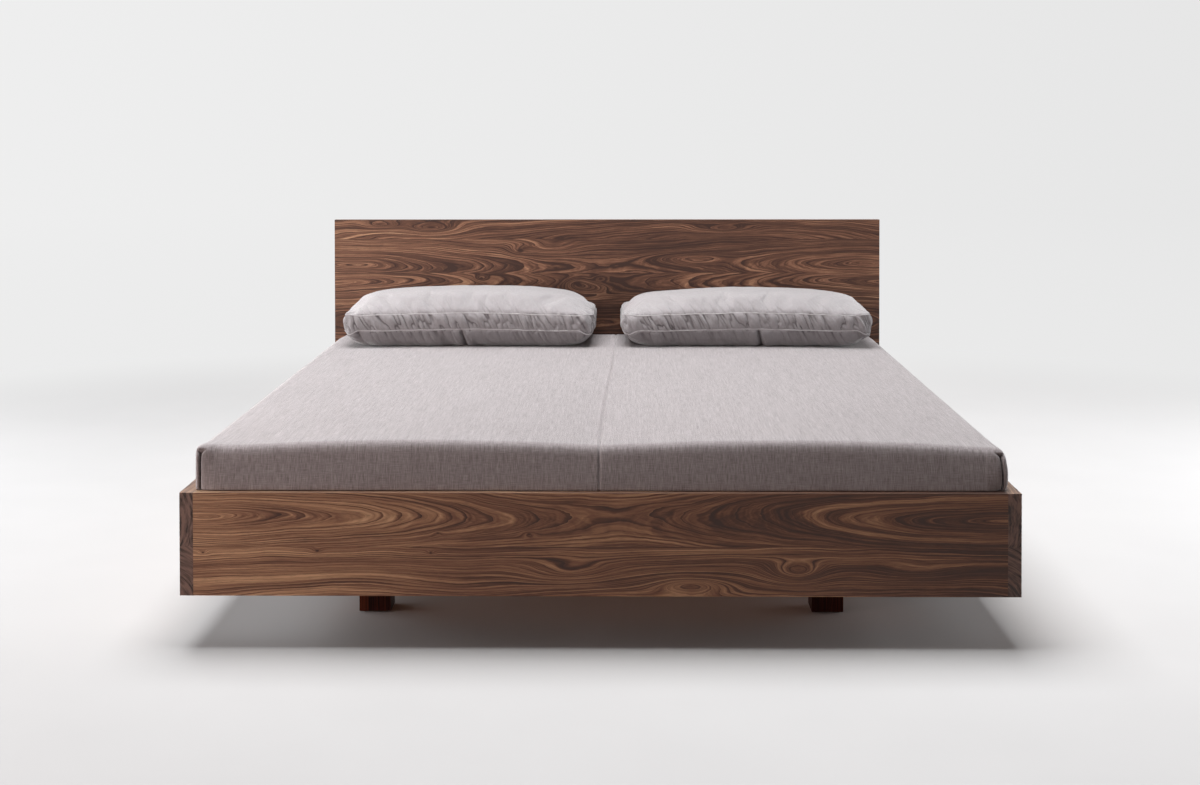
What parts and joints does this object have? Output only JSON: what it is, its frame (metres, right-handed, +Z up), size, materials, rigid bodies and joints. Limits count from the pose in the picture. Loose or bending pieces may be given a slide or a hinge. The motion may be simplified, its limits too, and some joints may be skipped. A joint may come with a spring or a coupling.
{
  "type": "platform bed",
  "caption": "Low solid-wood double bed with a plain headboard, set-back block feet, slatted bases, mattresses under one tailored cover, and boxed pillows.",
  "frame": {"origin": "on the floor, under the middle of the bed's outline", "axes": "+X to the right seen from the foot end, +Y towards the headboard, +Z up"},
  "size_m": [1.87, 2.07, 0.836],
  "materials": {
    "walnut": "oiled",
    "beech": "sanded",
    "steel": "zinc plated",
    "rubber_cap": "matt",
    "webbing": "woven",
    "felt": "felt",
    "ticking": "woven",
    "cover_cloth": "woven, heathered",
    "pillow_cloth": "woven, fine"
  },
  "bodies": {
    "frame": {"headboard": "walnut", "side_rail_left": "walnut", "side_rail_right": "walnut", "foot_rail": "walnut", "ledger_left": "beech", "ledger_right": "beech", "ledger_screws": "steel", "centre_beam": "beech", "centre_beam_hangers": "steel", "hanger_screws": "steel", "cross_beam_front": "beech", "cross_beam_rear": "beech", "cross_beam_brackets": "steel", "cross_beam_screws": "steel", "foot_front_left": "walnut", "foot_front_right": "walnut", "foot_rear_left": "walnut", "foot_rear_right": "walnut", "foot_bolts": "steel", "foot_bolt_washers": "steel", "foot_glides": "felt", "corner_bracket_front_left": "steel", "corner_bracket_front_right": "steel", "corner_bracket_rear_left": "steel", "corner_bracket_rear_right": "steel", "corner_bracket_screws": "steel", "corner_dowels": "beech"},
    "slatted_bases": {"left_base_outer_rail": "beech", "left_base_inner_rail": "beech", "left_base_head_rail": "beech", "left_base_foot_rail": "beech", "left_base_slats": "beech", "left_base_slat_caps": "rubber_cap", "left_base_strap": "webbing", "right_base_outer_rail": "beech", "right_base_inner_rail": "beech", "right_base_head_rail": "beech", "right_base_foot_rail": "beech", "right_base_slats": "beech", "right_base_slat_caps": "rubber_cap", "right_base_strap": "webbing"},
    "mattresses": {"left_mattress": "ticking", "right_mattress": "ticking", "bed_cover": "cover_cloth"},
    "left_pillow_body": {"left_pillow": "pillow_cloth"},
    "right_pillow_body": {"right_pillow": "pillow_cloth"}
  },
  "joints": [
    {"name": "slatted_base_lift", "type": "slide", "parent": "frame", "child": "slatted_bases", "axis": [0, 0, 1], "range_m": [0, 0.2]},
    {"name": "mattress_lift", "type": "slide", "parent": "slatted_bases", "child": "mattresses", "axis": [0, 0, 1], "range_m": [0, 0.25]},
    {"name": "left_pillow_lift", "type": "slide", "parent": "mattresses", "child": "left_pillow_body", "axis": [0, 0, 1], "range_m": [0, 0.25]},
    {"name": "right_pillow_lift", "type": "slide", "parent": "mattresses", "child": "right_pillow_body", "axis": [0, 0, 1], "range_m": [0, 0.25]}
  ]
}
